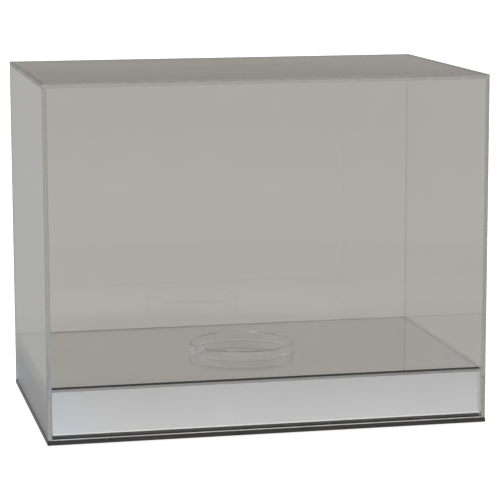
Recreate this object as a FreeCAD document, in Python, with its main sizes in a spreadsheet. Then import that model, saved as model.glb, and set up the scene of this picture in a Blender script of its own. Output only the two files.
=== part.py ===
import FreeCAD, Part
import os
import Sketcher
from FreeCAD import Vector

# Football display case: a clear five-sided cover of cemented 3 mm acrylic sheet
# that lifts straight up off a black base plate. A mirrored plinth (a black floor
# sheet, four riser walls and a deck sheet on top) stands on the plate inside the
# cover, locates the cover sideways and carries a clear ring that cradles a
# football.
#
# Frame: millimetres, origin at the centre of the footprint, on the table;
# +X to the right along the case's length, -Y towards the front, +Z up.

doc = FreeCAD.newDocument("FootballDisplayCase")

# ---------------------------------------------------------------- sizes
SIZES = [
    ("sheet_thick", 3.0, "clear and mirrored sheet thickness"),
    ("cement_line", 0.05, "thickness of a cement film between two sheets"),
    ("edge_break", 0.2, "chamfer on flame-polished outside edges"),
    ("rim_bevel", 0.8, "bevel round the cover's rim, outside"),
    ("deck_bevel", 1.2, "bevel along the front edge of the deck's upper face"),
    ("foot_radius", 6.0, "radius of a pad under the plate"),
    ("foot_height", 1.0, "height of a pad"),
    ("foot_round", 0.4, "rounding of a pad's lower edge"),
    ("foot_inset", 19.75, "pad centre from the plate's edges"),
    ("plate_width", 308.5, "base plate along X"),
    ("plate_depth", 198.5, "base plate along Y"),
    ("plate_thick", 3.0, "base plate thickness"),
    ("plate_break", 0.2, "chamfer on the plate's edges"),
    ("cover_width", 308.0, "cover outside, along X"),
    ("cover_depth", 198.0, "cover outside, along Y"),
    ("cover_height", 241.0, "cover from its rim to its upper face"),
    ("seat_gap", 0.05, "cover rim above the plate"),
    ("riser_gap", 0.5, "play between the plinth and the cover, each side"),
    ("deck_level", 38.9, "deck's upper face above the plate's underside"),
    ("post_side", 12.0, "corner post, square side"),
    ("ring_outer", 38.1, "ring outside radius"),
    ("ring_bore", 34.925, "ring inside radius"),
    ("ring_height", 6.35, "ring height"),
    ("ring_break", 0.5, "chamfer on the ring's rims"),
]
sheet = doc.addObject("Spreadsheet::Sheet", "Sizes")
for row, (alias, value, note) in enumerate(SIZES, start=1):
    sheet.set("A%d" % row, note)
    sheet.set("B%d" % row, str(value))
    sheet.setAlias("B%d" % row, alias)
doc.recompute()

NAMES = sorted((a for a, _, _ in SIZES), key=len, reverse=True)


def bound(text):
    """An expression in plain alias names, with each alias pointing at the sheet."""
    words, word = [], ""
    for ch in text + " ":
        if ch.isalnum() or ch in "_.":
            word += ch
        else:
            words.append("Sizes." + word if word in NAMES else word)
            words.append(ch)
            word = ""
    return "".join(words).strip()


def drive(obj, **formulas):
    for prop, text in formulas.items():
        obj.setExpression(prop.replace("__", "."), bound(text))


def origin_plane(body, role):
    return next(o for o in body.Origin.OriginFeatures if o.Role == role)


def place(body, x, y, z):
    drive(body, Placement__Base__x=x, Placement__Base__y=y, Placement__Base__z=z)


def spot(edge, box):
    """Where an edge lies on its block: -1, 0 or 1 along X, Y and Z."""
    mid = edge.CenterOfMass
    out = []
    for value, low, high in (
        (mid.x, box.XMin, box.XMax),
        (mid.y, box.YMin, box.YMax),
        (mid.z, box.ZMin, box.ZMax),
    ):
        share = (value - low) / (high - low)
        out.append(-1 if share < 0.001 else 1 if share > 0.999 else 0)
    return tuple(out)


PIECES = []


def block(name, along_x, along_y, tall, x, y, z,
          bevelled=(), bevel="edge_break", broken=(), size="edge_break"):
    """A rectangular sheet or bar standing on its sketch, some edges bevelled,
    then some broken."""
    body = doc.addObject("PartDesign::Body", name)
    body.Label = name
    outline = body.newObject("Sketcher::SketchObject", name + "_outline")
    outline.AttachmentSupport = [(origin_plane(body, "XY_Plane"), "")]
    outline.MapMode = "FlatFace"
    corners = [Vector(-5, -5, 0), Vector(5, -5, 0), Vector(5, 5, 0), Vector(-5, 5, 0)]
    for i in range(4):
        outline.addGeometry(Part.LineSegment(corners[i], corners[(i + 1) % 4]), False)
    for i in range(4):
        outline.addConstraint(Sketcher.Constraint("Coincident", i, 2, (i + 1) % 4, 1))
    outline.addConstraint(Sketcher.Constraint("Horizontal", 0))
    outline.addConstraint(Sketcher.Constraint("Horizontal", 2))
    outline.addConstraint(Sketcher.Constraint("Vertical", 1))
    outline.addConstraint(Sketcher.Constraint("Vertical", 3))
    outline.addConstraint(Sketcher.Constraint("Symmetric", 0, 1, 1, 2, -1, 1))
    wide = outline.addConstraint(Sketcher.Constraint("DistanceX", 0, 1, 0, 2, 10.0))
    deep = outline.addConstraint(Sketcher.Constraint("DistanceY", 1, 1, 1, 2, 10.0))
    outline.renameConstraint(wide, "along_x")
    outline.renameConstraint(deep, "along_y")
    drive(outline, Constraints__along_x=along_x, Constraints__along_y=along_y)
    pad = body.newObject("PartDesign::Pad", name + "_sheet")
    pad.Profile = outline
    drive(pad, Length=tall)
    place(body, x, y, z)
    doc.recompute()
    box = pad.Shape.BoundBox
    step = pad
    for label, chosen, amount in (
        ("_bevelled_edges", bevelled, bevel),
        ("_broken_edges", broken, size),
    ):
        if not chosen:
            continue
        edges = [
            "Edge%d" % n
            for n, e in enumerate(step.Shape.Edges, start=1)
            if spot(e, box) in chosen
        ]
        if len(edges) != len(chosen):
            raise RuntimeError("%s: %d edges for %d" % (name, len(edges), len(chosen)))
        chamfer = body.newObject("PartDesign::Chamfer", name + label)
        chamfer.Base = (step, edges)
        drive(chamfer, Size=amount)
        doc.recompute()
        step = chamfer
    PIECES.append(body)
    return body


# Heights used by more than one piece, from the table up.
PLATE_TOP = "foot_height + plate_thick"
RIM = PLATE_TOP + " + seat_gap"
WALL_TALL = "cover_height - seat_gap - sheet_thick - cement_line"
DECK_TOP = "foot_height + deck_level"
RISER_TALL = "deck_level - plate_thick - 2 * sheet_thick - 3 * cement_line"

ROUND_TOP = {(0, -1, 1), (0, 1, 1), (-1, 0, 1), (1, 0, 1)}
ROUND_FOOT = {(0, -1, -1), (0, 1, -1), (-1, 0, -1), (1, 0, -1)}
CORNERS = {(-1, -1, 0), (1, -1, 0), (-1, 1, 0), (1, 1, 0)}

# ---------------------------------------------------------------- cover
# The sides run the full depth; front and back stand between them; the top
# sheet lies on all four walls, flush with their outer faces.
FRONT_WIDE = "cover_width - 2 * sheet_thick - 2 * cement_line"
block("cover_front", FRONT_WIDE, "sheet_thick", WALL_TALL,
      "0", "-(cover_depth - sheet_thick) / 2", RIM,
      bevelled={(0, -1, -1)}, bevel="rim_bevel", broken={(0, 1, -1)})
block("cover_back", FRONT_WIDE, "sheet_thick", WALL_TALL,
      "0", "(cover_depth - sheet_thick) / 2", RIM,
      bevelled={(0, 1, -1)}, bevel="rim_bevel", broken={(0, -1, -1)})
block("cover_left", "sheet_thick", "cover_depth", WALL_TALL,
      "-(cover_width - sheet_thick) / 2", "0", RIM,
      bevelled={(-1, 0, -1), (0, -1, -1), (0, 1, -1)}, bevel="rim_bevel",
      broken={(1, 0, -1), (-1, -1, 0), (-1, 1, 0)})
block("cover_right", "sheet_thick", "cover_depth", WALL_TALL,
      "(cover_width - sheet_thick) / 2", "0", RIM,
      bevelled={(1, 0, -1), (0, -1, -1), (0, 1, -1)}, bevel="rim_bevel",
      broken={(-1, 0, -1), (1, -1, 0), (1, 1, 0)})
block("cover_top", "cover_width", "cover_depth", "sheet_thick",
      "0", "0", PLATE_TOP + " + cover_height - sheet_thick",
      broken=ROUND_TOP | CORNERS)

# ---------------------------------------------------------------- base plate
block("base_plate", "plate_width", "plate_depth", "plate_thick",
      "0", "0", "foot_height",
      broken=ROUND_TOP | ROUND_FOOT | CORNERS, size="plate_break")

# ---------------------------------------------------------------- plinth
# A black floor sheet, then back-silvered acrylic: the mirror coat is on each
# sheet's inner face, so the plinth is a clear skin over silver. The walls stand
# on the floor sheet, flush with its edges, and the deck lies on the four walls.
# Their cemented edges are left square.
RISER_WIDE = "cover_width - 2 * sheet_thick - 2 * riser_gap"
RISER_DEEP = "cover_depth - 2 * sheet_thick - 2 * riser_gap"
block("plinth_floor", RISER_WIDE, RISER_DEEP, "sheet_thick",
      "0", "0", PLATE_TOP + " + cement_line", broken=CORNERS)
RISER_FOOT = PLATE_TOP + " + sheet_thick + 2 * cement_line"
block("riser_front", RISER_WIDE, "sheet_thick", RISER_TALL,
      "0", "-(%s - sheet_thick) / 2" % RISER_DEEP.join("()"), RISER_FOOT,
      broken={(-1, -1, 0), (1, -1, 0)})
block("riser_back", RISER_WIDE, "sheet_thick", RISER_TALL,
      "0", "(%s - sheet_thick) / 2" % RISER_DEEP.join("()"), RISER_FOOT,
      broken={(-1, 1, 0), (1, 1, 0)})
RISER_SIDE = RISER_DEEP + " - 2 * sheet_thick - 2 * cement_line"
block("riser_left", "sheet_thick", RISER_SIDE, RISER_TALL,
      "-(%s - sheet_thick) / 2" % RISER_WIDE.join("()"), "0", RISER_FOOT)
block("riser_right", "sheet_thick", RISER_SIDE, RISER_TALL,
      "(%s - sheet_thick) / 2" % RISER_WIDE.join("()"), "0", RISER_FOOT)
block("deck", RISER_WIDE, RISER_DEEP, "sheet_thick",
      "0", "0", DECK_TOP + " - sheet_thick",
      bevelled={(0, -1, 1)}, bevel="deck_bevel",
      broken=(ROUND_TOP - {(0, -1, 1)}) | CORNERS)

# Square posts cemented into the plinth's corners tie the walls together and
# carry the deck.
POST_X = "(%s) / 2 - sheet_thick - cement_line - post_side / 2" % RISER_WIDE
POST_Y = "(%s) / 2 - sheet_thick - cement_line - post_side / 2" % RISER_DEEP
for name, sx, sy in (
    ("post_front_left", "-1", "-1"),
    ("post_front_right", "1", "-1"),
    ("post_back_left", "-1", "1"),
    ("post_back_right", "1", "1"),
):
    block(name, "post_side", "post_side", RISER_TALL,
          "%s * (%s)" % (sx, POST_X), "%s * (%s)" % (sy, POST_Y), RISER_FOOT)

# ---------------------------------------------------------------- ring
# A slice of clear tube cemented to the middle of the deck; the ball's belly
# sits in its bore.
ring = doc.addObject("PartDesign::Body", "ball_ring")
ring.Label = "ball_ring"
circles = ring.newObject("Sketcher::SketchObject", "ball_ring_outline")
circles.AttachmentSupport = [(origin_plane(ring, "XY_Plane"), "")]
circles.MapMode = "FlatFace"
for n, (radius, alias) in enumerate(((38.0, "ring_outer"), (35.0, "ring_bore"))):
    circles.addGeometry(Part.Circle(Vector(0, 0, 0), Vector(0, 0, 1), radius), False)
    circles.addConstraint(Sketcher.Constraint("Coincident", n, 3, -1, 1))
    number = circles.addConstraint(Sketcher.Constraint("Radius", n, radius))
    circles.renameConstraint(number, alias)
    circles.setExpression("Constraints." + alias, bound(alias))
tube = ring.newObject("PartDesign::Pad", "ball_ring_tube")
tube.Profile = circles
drive(tube, Length="ring_height")
place(ring, "0", "0", DECK_TOP + " + cement_line")
doc.recompute()
rims = [
    "Edge%d" % n
    for n, e in enumerate(tube.Shape.Edges, start=1)
    if isinstance(e.Curve, Part.Circle) and abs(e.CenterOfMass.z) > 1.0
]
rim = ring.newObject("PartDesign::Chamfer", "ball_ring_upper_rims")
rim.Base = (tube, rims)
drive(rim, Size="ring_break")
doc.recompute()
PIECES.append(ring)

# ---------------------------------------------------------------- feet
# Four self-adhesive pads under the plate, rounded at the table.
for name, sx, sy in (
    ("foot_front_left", "-1", "-1"),
    ("foot_front_right", "1", "-1"),
    ("foot_back_left", "-1", "1"),
    ("foot_back_right", "1", "1"),
):
    foot = doc.addObject("PartDesign::Body", name)
    foot.Label = name
    disc = foot.newObject("Sketcher::SketchObject", name + "_outline")
    disc.AttachmentSupport = [(origin_plane(foot, "XY_Plane"), "")]
    disc.MapMode = "FlatFace"
    disc.addGeometry(Part.Circle(Vector(0, 0, 0), Vector(0, 0, 1), 6.0), False)
    disc.addConstraint(Sketcher.Constraint("Coincident", 0, 3, -1, 1))
    number = disc.addConstraint(Sketcher.Constraint("Radius", 0, 6.0))
    disc.renameConstraint(number, "foot_radius")
    drive(disc, Constraints__foot_radius="foot_radius")
    pad = foot.newObject("PartDesign::Pad", name + "_disc")
    pad.Profile = disc
    drive(pad, Length="foot_height")
    place(
        foot,
        "%s * (plate_width / 2 - foot_inset)" % sx,
        "%s * (plate_depth / 2 - foot_inset)" % sy,
        "0",
    )
    doc.recompute()
    lower = [
        "Edge%d" % n
        for n, e in enumerate(pad.Shape.Edges, start=1)
        if isinstance(e.Curve, Part.Circle) and abs(e.CenterOfMass.z) < 0.01
    ]
    rounding = foot.newObject("PartDesign::Fillet", name + "_rounding")
    rounding.Base = (pad, lower)
    drive(rounding, Radius="foot_round")
    doc.recompute()
    PIECES.append(foot)

# ---------------------------------------------------------------- checks and files
doc.recompute()
for obj in doc.Objects:
    if "Invalid" in obj.State or "Error" in obj.State:
        raise RuntimeError("%s failed: %s" % (obj.Label, obj.State))

size = {alias: value for alias, value, _ in SIZES}
wall_tall = size["cover_height"] - size["seat_gap"] - size["sheet_thick"] - size["cement_line"]
front_wide = size["cover_width"] - 2 * size["sheet_thick"] - 2 * size["cement_line"]
expected = {
    "cover_front": front_wide * size["sheet_thick"] * wall_tall,
    "cover_left": size["cover_depth"] * size["sheet_thick"] * wall_tall,
    "cover_top": size["cover_width"] * size["cover_depth"] * size["sheet_thick"],
    "base_plate": size["plate_width"] * size["plate_depth"] * size["plate_thick"],
}
os.makedirs("parts", exist_ok=True)
for body in PIECES:
    shape = body.Shape
    if shape.isNull() or not shape.isValid() or len(shape.Solids) != 1:
        raise RuntimeError("%s has no single valid solid" % body.Label)
    if body.Label in expected:
        share = shape.Volume / expected[body.Label]
        if not 0.985 < share <= 1.0:
            raise RuntimeError("%s has %.4f of its expected volume" % (body.Label, share))
    box = shape.BoundBox
    print("%-18s x %8.2f %8.2f  y %8.2f %8.2f  z %8.2f %8.2f  %10.1f mm3" % (
        body.Label, box.XMin, box.XMax, box.YMin, box.YMax, box.ZMin, box.ZMax,
        shape.Volume))
    shape.exportStep("parts/%s.step" % body.Label)
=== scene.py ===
import bpy
import math
from mathutils import Matrix, Vector

# Football display case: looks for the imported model.
# Metres, in the row's frame: origin at the centre of the footprint on the
# table, +X right, -Y front, +Z up.

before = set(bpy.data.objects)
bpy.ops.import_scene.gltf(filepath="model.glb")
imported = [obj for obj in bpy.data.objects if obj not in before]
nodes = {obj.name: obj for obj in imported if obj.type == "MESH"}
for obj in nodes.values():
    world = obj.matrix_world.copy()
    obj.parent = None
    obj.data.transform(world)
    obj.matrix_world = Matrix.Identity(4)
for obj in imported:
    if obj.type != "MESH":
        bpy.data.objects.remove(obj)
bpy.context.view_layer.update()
scene = bpy.context.scene

COVER = ["cover_front", "cover_back", "cover_left", "cover_right", "cover_top"]
RISERS = ["riser_front", "riser_back", "riser_left", "riser_right"]
POSTS = [n for n in nodes if n.startswith("post_")]
FEET = [n for n in nodes if n.startswith("foot_")]


# ------------------------------------------------------------------ node help
def new_material(name):
    mat = bpy.data.materials.new(name)
    mat.use_nodes = True
    tree = mat.node_tree
    tree.nodes.clear()
    out = tree.nodes.new("ShaderNodeOutputMaterial")
    bsdf = tree.nodes.new("ShaderNodeBsdfPrincipled")
    tree.links.new(bsdf.outputs["BSDF"], out.inputs["Surface"])
    return mat, tree, bsdf, out


def node(tree, kind, **values):
    n = tree.nodes.new(kind)
    for key, value in values.items():
        if key in n.inputs:
            n.inputs[key].default_value = value
        else:
            setattr(n, key, value)
    return n


def math_node(tree, operation, a, b=None, clamp=False):
    n = tree.nodes.new("ShaderNodeMath")
    n.operation = operation
    n.use_clamp = clamp
    for i, value in enumerate((a, b)):
        if value is None:
            continue
        if isinstance(value, (int, float)):
            n.inputs[i].default_value = value
        else:
            tree.links.new(value, n.inputs[i])
    return n.outputs[0]


def ranged(tree, value, low, high, to_low, to_high, smooth=False):
    n = tree.nodes.new("ShaderNodeMapRange")
    if smooth:
        n.interpolation_type = "SMOOTHSTEP"
    n.inputs["From Min"].default_value = low
    n.inputs["From Max"].default_value = high
    n.inputs["To Min"].default_value = to_low
    n.inputs["To Max"].default_value = to_high
    tree.links.new(value, n.inputs["Value"])
    return n.outputs["Result"]


def place_coords(tree, scale=(1, 1, 1), turn=(0, 0, 0)):
    coords = tree.nodes.new("ShaderNodeTexCoord")
    mapping = tree.nodes.new("ShaderNodeMapping")
    mapping.inputs["Scale"].default_value = scale
    mapping.inputs["Rotation"].default_value = turn
    tree.links.new(coords.outputs["Object"], mapping.inputs["Vector"])
    return mapping.outputs["Vector"]


def noise(tree, vector, scale, detail=2.0, rough=0.5, distort=0.0):
    n = tree.nodes.new("ShaderNodeTexNoise")
    n.inputs["Scale"].default_value = scale
    n.inputs["Detail"].default_value = detail
    n.inputs["Roughness"].default_value = rough
    n.inputs["Distortion"].default_value = distort
    tree.links.new(vector, n.inputs["Vector"])
    return n.outputs["Fac"]


def clear_sheet(name, broad, cut=(0.08, 0.16), absorb=(0.983, 0.984, 0.981), density=60.0, frost=None):
    """Cast acrylic sheet: glossy broad faces with the casting's slow waviness,
    and cut edges polished by hand, a little less clear than the faces."""
    mat, tree, bsdf, out = new_material(name)
    bsdf.inputs["Transmission Weight"].default_value = 1.0
    bsdf.inputs["IOR"].default_value = 1.49
    here = place_coords(tree)
    bloom = noise(tree, here, 22.0, 4.0, 0.65)
    wiped = tree.nodes.new("ShaderNodeValToRGB")
    wiped.color_ramp.elements[0].position = 0.35
    wiped.color_ramp.elements[0].color = (1, 1, 1, 1)
    wiped.color_ramp.elements[1].position = 0.80
    wiped.color_ramp.elements[1].color = (0.985, 0.987, 0.987, 1)
    tree.links.new(bloom, wiped.inputs["Fac"])
    tree.links.new(wiped.outputs["Color"], bsdf.inputs["Base Color"])
    coords = tree.nodes.new("ShaderNodeTexCoord")
    split = tree.nodes.new("ShaderNodeSeparateXYZ")
    tree.links.new(coords.outputs["Normal"], split.inputs[0])
    facing = math_node(tree, "ABSOLUTE", split.outputs[broad])
    edge = ranged(tree, facing, 0.95, 0.85, 0.0, 1.0)
    haze = noise(tree, here, 14.0, 3.0, 0.6)
    face_rough = ranged(tree, haze, 0.35, 0.75, 0.0, 0.016)
    grain = noise(tree, here, 700.0, 2.0, 0.5)
    edge_rough = ranged(tree, grain, 0.35, 0.75, *cut)
    mix = tree.nodes.new("ShaderNodeMix")
    tree.links.new(edge, mix.inputs["Factor"])
    tree.links.new(face_rough, mix.inputs["A"])
    tree.links.new(edge_rough, mix.inputs["B"])
    tree.links.new(mix.outputs["Result"], bsdf.inputs["Roughness"])
    if frost:
        # an edge left from the scraper is partly white
        white = math_node(tree, "MULTIPLY", edge, ranged(tree, grain, 0.35, 0.75, *frost))
        tree.links.new(math_node(tree, "SUBTRACT", 1.0, white), bsdf.inputs["Transmission Weight"])
    wave = noise(tree, here, 9.0, 0.0, 0.5)
    bump = tree.nodes.new("ShaderNodeBump")
    bump.inputs["Strength"].default_value = 1.0
    bump.inputs["Distance"].default_value = 0.00004
    tree.links.new(wave, bump.inputs["Height"])
    tree.links.new(bump.outputs["Normal"], bsdf.inputs["Normal"])
    volume = tree.nodes.new("ShaderNodeVolumeAbsorption")
    volume.inputs["Color"].default_value = (*absorb, 1)
    volume.inputs["Density"].default_value = density
    tree.links.new(volume.outputs["Volume"], out.inputs["Volume"])
    return mat


sheet_y = clear_sheet("clear_acrylic_front_back", "Y", (0.0, 0.03))
sheet_x = clear_sheet("clear_acrylic_sides", "X")
sheet_z = clear_sheet("clear_acrylic_top", "Z", frost=(0.045, 0.080))
mirror_x = clear_sheet("mirror_acrylic_sides", "X", (0.0, 0.03))
mirror_y = clear_sheet("mirror_acrylic_front_back", "Y", (0.0, 0.03))
mirror_z = clear_sheet("mirror_acrylic_deck", "Z", (0.0, 0.03))


def silver_coat():
    mat, tree, bsdf, out = new_material("silver_coat")
    bsdf.inputs["Metallic"].default_value = 1.0
    here = place_coords(tree)
    mottled = noise(tree, here, 40.0, 3.0, 0.6)
    ramp = tree.nodes.new("ShaderNodeValToRGB")
    ramp.color_ramp.elements[0].position = 0.3
    ramp.color_ramp.elements[0].color = (0.870, 0.870, 0.868, 1)
    ramp.color_ramp.elements[1].position = 0.7
    ramp.color_ramp.elements[1].color = (0.848, 0.848, 0.850, 1)
    tree.links.new(mottled, ramp.inputs["Fac"])
    tree.links.new(ramp.outputs["Color"], bsdf.inputs["Base Color"])
    rough = ranged(tree, mottled, 0.3, 0.7, 0.012, 0.03)
    tree.links.new(rough, bsdf.inputs["Roughness"])
    return mat


def black_sheet():
    mat, tree, bsdf, out = new_material("black_acrylic")
    here = place_coords(tree)
    tone = noise(tree, here, 30.0, 4.0, 0.6)
    ramp = tree.nodes.new("ShaderNodeValToRGB")
    ramp.color_ramp.elements[0].position = 0.3
    ramp.color_ramp.elements[0].color = (0.012, 0.011, 0.010, 1)
    ramp.color_ramp.elements[1].position = 0.75
    ramp.color_ramp.elements[1].color = (0.023, 0.020, 0.018, 1)
    tree.links.new(tone, ramp.inputs["Fac"])
    tree.links.new(ramp.outputs["Color"], bsdf.inputs["Base Color"])
    rough = ranged(tree, tone, 0.3, 0.7, 0.05, 0.12)
    tree.links.new(rough, bsdf.inputs["Roughness"])
    bsdf.inputs["IOR"].default_value = 1.49
    return mat


def scraped(name, dark, light, rough=(0.45, 0.62)):
    """A bevel scraped with a blade: satin, with fine scratches along the edge."""
    mat, tree, bsdf, out = new_material(name)
    here = place_coords(tree)
    fine = noise(tree, here, 900.0, 3.0, 0.65)
    slow = noise(tree, here, 60.0, 2.0, 0.5)
    tone = math_node(tree, "ADD", math_node(tree, "MULTIPLY", fine, 0.6),
                     math_node(tree, "MULTIPLY", slow, 0.4))
    ramp = tree.nodes.new("ShaderNodeValToRGB")
    ramp.color_ramp.elements[0].position = 0.35
    ramp.color_ramp.elements[0].color = (*dark, 1)
    ramp.color_ramp.elements[1].position = 0.65
    ramp.color_ramp.elements[1].color = (*light, 1)
    tree.links.new(tone, ramp.inputs["Fac"])
    tree.links.new(ramp.outputs["Color"], bsdf.inputs["Base Color"])
    tree.links.new(ranged(tree, fine, 0.3, 0.7, *rough), bsdf.inputs["Roughness"])
    bump = tree.nodes.new("ShaderNodeBump")
    bump.inputs["Strength"].default_value = 0.6
    bump.inputs["Distance"].default_value = 0.00005
    tree.links.new(fine, bump.inputs["Height"])
    tree.links.new(bump.outputs["Normal"], bsdf.inputs["Normal"])
    return mat


def turned_tube():
    """A ring parted off clear tube: polished skin, fine turning marks on the ends."""
    mat, tree, bsdf, out = new_material("turned_clear_tube")
    bsdf.inputs["Base Color"].default_value = (1, 1, 1, 1)
    bsdf.inputs["Transmission Weight"].default_value = 1.0
    bsdf.inputs["IOR"].default_value = 1.49
    here = place_coords(tree)
    coords = tree.nodes.new("ShaderNodeTexCoord")
    split = tree.nodes.new("ShaderNodeSeparateXYZ")
    tree.links.new(coords.outputs["Normal"], split.inputs[0])
    ends = ranged(tree, math_node(tree, "ABSOLUTE", split.outputs["Z"]), 0.85, 0.95, 0.0, 1.0)
    turns = tree.nodes.new("ShaderNodeTexWave")
    turns.wave_type = "RINGS"
    turns.rings_direction = "Z"
    turns.inputs["Scale"].default_value = 420.0
    turns.inputs["Distortion"].default_value = 0.6
    turns.inputs["Detail"].default_value = 2.0
    tree.links.new(here, turns.inputs["Vector"])
    marks = math_node(tree, "MULTIPLY", turns.outputs["Fac"], ends)
    tree.links.new(ranged(tree, marks, 0.0, 1.0, 0.008, 0.09), bsdf.inputs["Roughness"])
    pull = noise(tree, here, 55.0, 2.0, 0.5)
    height = math_node(tree, "ADD", math_node(tree, "MULTIPLY", marks, 0.25), pull)
    bump = tree.nodes.new("ShaderNodeBump")
    bump.inputs["Strength"].default_value = 1.0
    bump.inputs["Distance"].default_value = 0.00002
    tree.links.new(height, bump.inputs["Height"])
    tree.links.new(bump.outputs["Normal"], bsdf.inputs["Normal"])
    volume = tree.nodes.new("ShaderNodeVolumeAbsorption")
    volume.inputs["Color"].default_value = (0.985, 0.988, 0.982, 1)
    volume.inputs["Density"].default_value = 60.0
    tree.links.new(volume.outputs["Volume"], out.inputs["Volume"])
    return mat


def sawn_bar():
    """Square acrylic bar left as sawn: satin, with saw lines across it."""
    mat, tree, bsdf, out = new_material("sawn_clear_bar")
    bsdf.inputs["Base Color"].default_value = (0.96, 0.965, 0.96, 1)
    bsdf.inputs["Transmission Weight"].default_value = 1.0
    bsdf.inputs["IOR"].default_value = 1.49
    here = place_coords(tree)
    lines = tree.nodes.new("ShaderNodeTexWave")
    lines.wave_type = "BANDS"
    lines.bands_direction = "Z"
    lines.inputs["Scale"].default_value = 260.0
    lines.inputs["Distortion"].default_value = 1.5
    lines.inputs["Detail"].default_value = 3.0
    tree.links.new(place_coords(tree, turn=(0.05, 0.03, 0.0)), lines.inputs["Vector"])
    speck = noise(tree, here, 500.0, 3.0, 0.6)
    worn = math_node(tree, "ADD", math_node(tree, "MULTIPLY", lines.outputs["Fac"], 0.5),
                     math_node(tree, "MULTIPLY", speck, 0.5))
    tree.links.new(ranged(tree, worn, 0.25, 0.75, 0.22, 0.42), bsdf.inputs["Roughness"])
    bump = tree.nodes.new("ShaderNodeBump")
    bump.inputs["Strength"].default_value = 0.7
    bump.inputs["Distance"].default_value = 0.00004
    tree.links.new(worn, bump.inputs["Height"])
    tree.links.new(bump.outputs["Normal"], bsdf.inputs["Normal"])
    return mat


def pad_rubber():
    mat, tree, bsdf, out = new_material("pad_rubber")
    here = place_coords(tree)
    tone = noise(tree, here, 400.0, 3.0, 0.6)
    ramp = tree.nodes.new("ShaderNodeValToRGB")
    ramp.color_ramp.elements[0].color = (0.20, 0.205, 0.20, 1)
    ramp.color_ramp.elements[1].color = (0.28, 0.285, 0.28, 1)
    tree.links.new(tone, ramp.inputs["Fac"])
    tree.links.new(ramp.outputs["Color"], bsdf.inputs["Base Color"])
    tree.links.new(ranged(tree, tone, 0.3, 0.7, 0.38, 0.55), bsdf.inputs["Roughness"])
    bump = tree.nodes.new("ShaderNodeBump")
    bump.inputs["Strength"].default_value = 0.5
    bump.inputs["Distance"].default_value = 0.00003
    tree.links.new(noise(tree, here, 1500.0, 2.0, 0.6), bump.inputs["Height"])
    tree.links.new(bump.outputs["Normal"], bsdf.inputs["Normal"])
    return mat


silver = silver_coat()
black = black_sheet()
rubber = pad_rubber()
clear_bevel = scraped("scraped_clear_bevel", (0.60, 0.605, 0.60), (0.84, 0.845, 0.84))
tube = turned_tube()
bar = sawn_bar()


def dress(name, *materials):
    slots = nodes[name].data.materials
    slots.clear()
    for m in materials:
        slots.append(m)


def dress_mirror(name, clear, inward):
    """The clear sheet with its inner broad face silvered."""
    dress(name, clear, silver)
    direction = Vector(inward)
    for face in nodes[name].data.polygons:
        face.material_index = 1 if face.normal.dot(direction) > 0.98 else 0


def dress_wall(name, clear):
    """A cover wall: polished all over but for the scraped bevel under its rim."""
    dress(name, clear, clear_bevel)
    for face in nodes[name].data.polygons:
        face.material_index = 1 if -0.9 < face.normal.z < -0.5 else 0


dress_wall("cover_front", sheet_y)
dress_wall("cover_back", sheet_y)
dress("cover_left", sheet_x)
dress("cover_right", sheet_x)
dress("cover_top", sheet_z)
dress_mirror("riser_front", mirror_y, (0, 1, 0))
dress_mirror("riser_back", mirror_y, (0, -1, 0))
dress_mirror("riser_left", mirror_x, (1, 0, 0))
dress_mirror("riser_right", mirror_x, (-1, 0, 0))
dress_mirror("deck", mirror_z, (0, 0, -1))
dress("base_plate", black)
dress("plinth_floor", black)
dress("ball_ring", tube)
for name in POSTS:
    dress(name, bar)
for name in FEET:
    dress(name, rubber)

# ------------------------------------------------------------------ stage
def plane_mesh(name, corners):
    mesh = bpy.data.meshes.new(name)
    mesh.from_pydata(corners, [], [(0, 1, 2, 3)])
    obj = bpy.data.objects.new(name, mesh)
    scene.collection.objects.link(obj)
    return obj


GREY = (0.450, 0.427, 0.387)      # what the clear sheets see round the case
UPPER = (0.236, 0.226, 0.211)


def across(tree, x):
    """The surround is a little darker behind the case than to its left."""
    return ranged(tree, x, -0.30, 0.0, 1.00, 0.93, True)


def cooled(tree, colour, x):
    """The surround turns from a warm grey to a neutral one on the left side."""
    tint = tree.nodes.new("ShaderNodeMix")
    tint.data_type = "RGBA"
    tree.links.new(ranged(tree, x, -0.155, -0.10, 1.0, 0.0, True), tint.inputs["Factor"])
    tint.inputs["A"].default_value = (1, 1, 1, 1)
    tint.inputs["B"].default_value = (0.955, 1.015, 1.11, 1)
    both = tree.nodes.new("ShaderNodeMix")
    both.data_type = "RGBA"
    both.blend_type = "MULTIPLY"
    both.inputs["Factor"].default_value = 1.0
    tree.links.new(colour, both.inputs["A"])
    tree.links.new(tint.outputs["Result"], both.inputs["B"])
    return both.outputs["Result"]



floor = plane_mesh("floor", [(-14, -14, 0), (14, -14, 0), (14, 14, 0), (-14, 14, 0)])
mat, tree, bsdf, out = new_material("floor")
bsdf.inputs["Roughness"].default_value = 0.9
bsdf.inputs["Specular IOR Level"].default_value = 0.0
bsdf.inputs["Base Color"].default_value = (0.30, 0.30, 0.30, 1)
bsdf.inputs["Emission Color"].default_value = (1, 1, 1, 1)
bsdf.inputs["Emission Strength"].default_value = 0.84
geo = tree.nodes.new("ShaderNodeNewGeometry")
split = tree.nodes.new("ShaderNodeSeparateXYZ")
tree.links.new(geo.outputs["Position"], split.inputs[0])
east = math_node(tree, "ABSOLUTE", split.outputs["X"])
north = split.outputs["Y"]
# Painted light on the floor's glow: brighter patches in front of the case and behind it, painted pools of light
# that the mirrored riser and the clear sheets show
front = math_node(tree, "MULTIPLY", ranged(tree, north, -0.105, -0.095, 1.0, 0.0, True),
                  ranged(tree, east, 0.40, 0.80, 1.0, 0.0, True))
back = math_node(tree, "MULTIPLY", ranged(tree, north, 0.09, 0.11, 0.0, 1.0, True),
                 math_node(tree, "MULTIPLY", ranged(tree, north, 0.26, 0.30, 1.0, 0.0, True),
                           ranged(tree, east, 0.14, 0.17, 1.0, 0.0, True)))
lit = math_node(tree, "ADD", front, back, clamp=True)
tone = tree.nodes.new("ShaderNodeMix")
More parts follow.
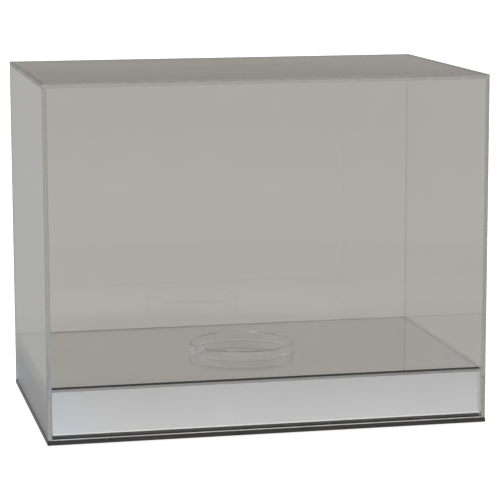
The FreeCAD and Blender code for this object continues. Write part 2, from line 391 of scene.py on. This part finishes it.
tone.data_type = "RGBA"
tree.links.new(lit, tone.inputs["Factor"])
# the lighter tone is the painted pool of light, GREY the plain surround
tone.inputs["A"].default_value = (*GREY, 1)
tone.inputs["B"].default_value = (0.52, 0.52, 0.52, 1)
# Painted shadow: a dimmer strip of the floor's glow just left of the case, standing in for its contact shadow,
# seen through the left wall
painted_shadow_left = math_node(tree, "MULTIPLY", ranged(tree, split.outputs["X"], -0.153, -0.150, 1.0, 0.0, True),
                      math_node(tree, "MULTIPLY", ranged(tree, split.outputs["X"], -0.177, -0.165, 0.0, 1.0, True),
                                ranged(tree, north, 0.25, 0.35, 1.0, 0.0, True)))
glow = tree.nodes.new("ShaderNodeEmission")
tree.links.new(cooled(tree, tone.outputs["Result"], split.outputs["X"]), glow.inputs["Color"])
# Painted light: the floor's glow grows brighter just in front of the case, a painted pool of light that the
# mirrored riser reflects
near = math_node(tree, "ADD", 1.0, math_node(tree, "MULTIPLY", front,
                                             ranged(tree, north, -0.32, -0.12, 0.0, 0.32)))
tree.links.new(math_node(tree, "MULTIPLY", math_node(tree, "MULTIPLY", near, across(tree, split.outputs["X"])),
                         math_node(tree, "SUBTRACT", 1.0, math_node(tree, "MULTIPLY", painted_shadow_left, 0.23))),
               glow.inputs["Strength"])
path = tree.nodes.new("ShaderNodeLightPath")
pick = tree.nodes.new("ShaderNodeMixShader")
direct = math_node(tree, "MAXIMUM", path.outputs["Is Camera Ray"], path.outputs["Is Diffuse Ray"])
tree.links.new(direct, pick.inputs["Fac"])
tree.links.new(glow.outputs["Emission"], pick.inputs[1])
tree.links.new(bsdf.outputs["BSDF"], pick.inputs[2])
tree.links.new(pick.outputs["Shader"], out.inputs["Surface"])
floor.data.materials.append(mat)

# A light tent round the case: a band that the clear sheets and mirrors see and
# the camera doesn't. It is brighter at the front.
steps = 96
radius, tall = 0.95, 0.75
mesh = bpy.data.meshes.new("tent")
verts, faces = [], []
for i in range(steps):
    a = 2 * math.pi * i / steps
    for z in (0.0, tall):
        verts.append((radius * math.cos(a), radius * math.sin(a), z))
for i in range(steps):
    j = (i + 1) % steps
    faces.append((2 * i, 2 * i + 1, 2 * j + 1, 2 * j))
mesh.from_pydata(verts, [], faces)
tent = bpy.data.objects.new("tent", mesh)
scene.collection.objects.link(tent)
tent.visible_camera = False
tent.visible_shadow = False
mat = bpy.data.materials.new("tent")
mat.use_nodes = True
tree = mat.node_tree
tree.nodes.clear()
out = tree.nodes.new("ShaderNodeOutputMaterial")
glow = tree.nodes.new("ShaderNodeEmission")
geo = tree.nodes.new("ShaderNodeNewGeometry")
split = tree.nodes.new("ShaderNodeSeparateXYZ")
tree.links.new(geo.outputs["Position"], split.inputs[0])
ramp = tree.nodes.new("ShaderNodeValToRGB")
ramp.color_ramp.elements[0].position = 0.36
ramp.color_ramp.elements[0].color = (*GREY, 1)
ramp.color_ramp.elements[1].position = 0.455
ramp.color_ramp.elements[1].color = (*UPPER, 1)
high_band = ramp.color_ramp.elements.new(0.51)
high_band.color = (*GREY, 1)
tree.links.new(math_node(tree, "DIVIDE", split.outputs["Z"], tall), ramp.inputs["Fac"])
tone = tree.nodes.new("ShaderNodeMix")
tone.data_type = "RGBA"
tree.links.new(ranged(tree, split.outputs["Y"], -0.55, -0.35, 1.0, 0.0, True), tone.inputs["Factor"])
tree.links.new(ramp.outputs["Color"], tone.inputs["A"])
low = tree.nodes.new("ShaderNodeValToRGB")
low.color_ramp.elements[0].position = 0.03
low.color_ramp.elements[0].color = (0.66, 0.66, 0.66, 1)
low.color_ramp.elements[1].position = 0.315
low.color_ramp.elements[1].color = (0.11, 0.108, 0.105, 1)
for place, level in ((0.11, 0.48), (0.245, 0.47), (0.275, 0.92), (0.302, 0.92)):
    low.color_ramp.elements.new(place).color = (level, level * 0.985, level * 0.96, 1)
tree.links.new(math_node(tree, "DIVIDE", split.outputs["Z"], tall), low.inputs["Fac"])
tree.links.new(low.outputs["Color"], tone.inputs["B"])
tree.links.new(cooled(tree, tone.outputs["Result"], split.outputs["X"]), glow.inputs["Color"])
tree.links.new(across(tree, split.outputs["X"]), glow.inputs["Strength"])
tree.links.new(glow.outputs["Emission"], out.inputs["Surface"])
tent.data.materials.append(mat)

world = bpy.data.worlds.new("studio")
scene.world = world
world.use_nodes = True
tree = world.node_tree
tree.nodes.clear()
out = tree.nodes.new("ShaderNodeOutputWorld")
white = tree.nodes.new("ShaderNodeBackground")
white.inputs["Color"].default_value = (1, 1, 1, 1)
dim = tree.nodes.new("ShaderNodeBackground")
dim.inputs["Color"].default_value = (0.21, 0.205, 0.20, 1)
path = tree.nodes.new("ShaderNodeLightPath")
mix = tree.nodes.new("ShaderNodeMixShader")
tree.links.new(path.outputs["Is Camera Ray"], mix.inputs["Fac"])
tree.links.new(dim.outputs["Background"], mix.inputs[1])
tree.links.new(white.outputs["Background"], mix.inputs[2])
tree.links.new(mix.outputs["Shader"], out.inputs["Surface"])


def softbox(name, place, target, size, power, colour=(1, 1, 1)):
    light = bpy.data.lights.new(name, "AREA")
    light.shape = "RECTANGLE"
    light.size, light.size_y = size
    light.energy = power
    light.color = colour
    obj = bpy.data.objects.new(name, light)
    scene.collection.objects.link(obj)
    obj.location = place
    aim = Vector(target) - Vector(place)
    obj.rotation_euler = aim.to_track_quat("-Z", "Y").to_euler()
    return obj


softbox("key", (-1.2, -1.6, 1.5), (0, 0, 0.1), (1.0, 1.0), 18)
fill = softbox("low_fill", (-0.1, -1.25, 0.10), (0, 0, 0.02), (1.6, 0.12), 8)
fill.visible_glossy = False
fill.visible_transmission = False
sky = bpy.data.lights.new("sky", "SUN")
sky.energy = 4.2
sky.angle = math.radians(50)
high = bpy.data.objects.new("sky", sky)
scene.collection.objects.link(high)
high.location = (0, 0, 3)
high.visible_glossy = False
high.visible_transmission = False

# ------------------------------------------------------------------ camera
yaw, pitch, roll = 0.2124, 0.1620, -0.0029
look = Vector((math.sin(yaw) * math.cos(pitch), math.cos(yaw) * math.cos(pitch), -math.sin(pitch)))
right = Vector((math.cos(yaw), -math.sin(yaw), 0.0))
up = right.cross(look)
right, up = (math.cos(roll) * right + math.sin(roll) * up,
             -math.sin(roll) * right + math.cos(roll) * up)
camera = bpy.data.cameras.new("camera")
camera.sensor_width = 36.0
camera.sensor_fit = "HORIZONTAL"
camera.lens = 2190.1 * 36.0 / 500.0
camera.clip_start, camera.clip_end = 0.05, 60.0
cam = bpy.data.objects.new("camera", camera)
scene.collection.objects.link(cam)
pose = Matrix((right, up, -look)).transposed().to_4x4()
pose.translation = Vector((-0.32298, -1.52971, 0.36864))
cam.matrix_world = pose
scene.camera = cam

scene.view_settings.view_transform = "Standard"
scene.cycles.max_bounces = 40
scene.cycles.transmission_bounces = 32
scene.cycles.glossy_bounces = 24
scene.cycles.transparent_max_bounces = 16
